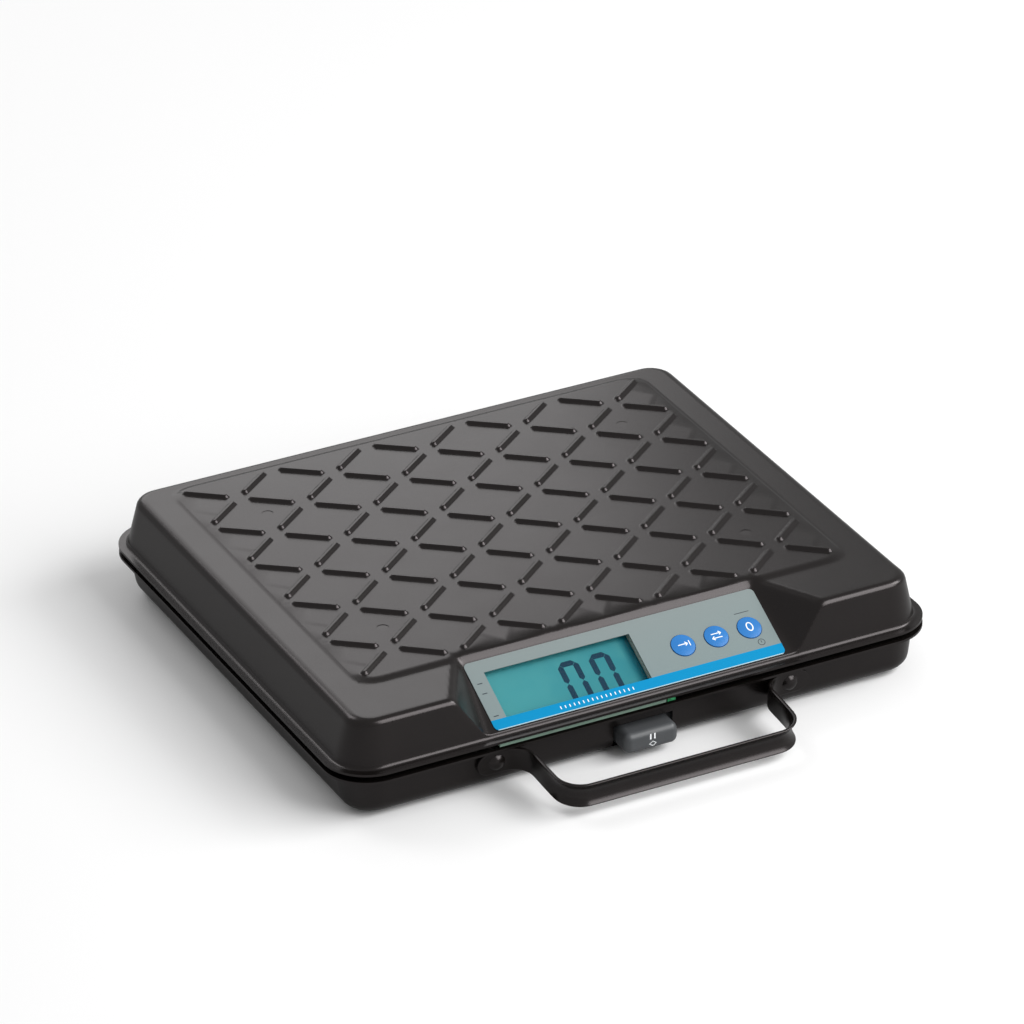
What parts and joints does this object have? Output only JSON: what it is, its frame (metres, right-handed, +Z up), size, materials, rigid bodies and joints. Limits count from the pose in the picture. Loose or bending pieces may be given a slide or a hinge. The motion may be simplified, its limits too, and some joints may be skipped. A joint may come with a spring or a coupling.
{
  "type": "bench scale",
  "caption": "Low rectangular steel bench scale with an embossed weighing platform, a sloping digital display with round keys, a front hold button and a strap carrying handle.",
  "frame": {"origin": "on the floor, under the middle of the whole scale, handle included", "axes": "+Z up, +X to the right when facing the display, -Y towards the display and the handle"},
  "size_m": [0.3174, 0.3184, 0.056],
  "materials": {
    "black_paint": "satin black powder coat",
    "zinc_steel": "zinc plated",
    "cell_alloy": "machined",
    "foot_rubber": "moulded",
    "overlay_print": "printed grey with a blue band",
    "key_blue": "gloss",
    "window_clear": "clear",
    "lcd_teal": "liquid crystal glass",
    "board_green": "solder mask",
    "black_plastic": "fine moulded grain",
    "white_plastic": "moulded",
    "button_grey": "moulded satin",
    "wire_insulation": "extruded",
    "battery_wrap": "plain printed steel case"
  },
  "bodies": {
    "base": {"base_pan": "black_paint", "handle": "black_paint", "handle_rivets": "black_paint", "rubber_feet": "foot_rubber", "pan_rails": "zinc_steel", "load_cells": "cell_alloy", "cell_shims": "zinc_steel", "cell_bolts": "zinc_steel", "cell_nuts": "zinc_steel", "junction_board": "board_green", "junction_standoffs": "zinc_steel", "junction_screws": "zinc_steel", "junction_connectors": "white_plastic", "cell_cables": "wire_insulation", "display_cable": "wire_insulation", "battery_box": "black_plastic", "battery": "battery_wrap", "battery_snap": "black_plastic", "battery_leads": "wire_insulation", "dc_jack": "black_plastic", "jack_leads": "wire_insulation", "hold_switch": "black_plastic", "hold_board": "board_green", "hold_bracket": "black_plastic", "bracket_screws": "zinc_steel"},
    "platform": {"platform": "black_paint", "platform_studs": "black_paint", "platform_rails": "zinc_steel", "platform_posts": "zinc_steel", "label_overlay": "overlay_print", "display_window": "window_clear", "lcd_frame": "white_plastic", "lcd_glass": "lcd_teal", "lcd_backlight": "white_plastic", "main_board": "board_green", "board_chips": "black_plastic", "board_connector": "white_plastic", "board_header": "black_plastic", "key_board": "board_green", "key_switches": "black_plastic", "display_bracket": "black_plastic", "display_studs": "zinc_steel", "display_nuts": "zinc_steel"},
    "key_tare": {"key_tare": "key_blue", "key_tare_plunger": "white_plastic"},
    "key_units": {"key_units": "key_blue", "key_units_plunger": "white_plastic"},
    "key_zero": {"key_zero": "key_blue", "key_zero_plunger": "white_plastic"},
    "hold_button": {"hold_button": "button_grey", "hold_plunger": "white_plastic"},
    "battery_door": {"battery_door": "black_plastic"}
  },
  "joints": [
    {"name": "platform_press", "type": "slide", "parent": "base", "child": "platform", "axis": [0, 0, -1], "range_m": [0, 0.0006], "deforming": ["load_cells"]},
    {"name": "key_tare_press", "type": "slide", "parent": "platform", "child": "key_tare", "axis": [0, 0.4695, -0.8829], "range_m": [0, 0.0003]},
    {"name": "key_units_press", "type": "slide", "parent": "platform", "child": "key_units", "axis": [0, 0.4695, -0.8829], "range_m": [0, 0.0003]},
    {"name": "key_zero_press", "type": "slide", "parent": "platform", "child": "key_zero", "axis": [0, 0.4695, -0.8829], "range_m": [0, 0.0003]},
    {"name": "hold_press", "type": "slide", "parent": "base", "child": "hold_button", "axis": [0, 1, 0], "range_m": [0, 0.001]},
    {"name": "battery_door_hinge", "type": "hinge", "parent": "base", "child": "battery_door", "pos_m": [0, 0.08271, 0.0026], "axis": [-1, 0, 0], "range_deg": [0, 75]}
  ]
}
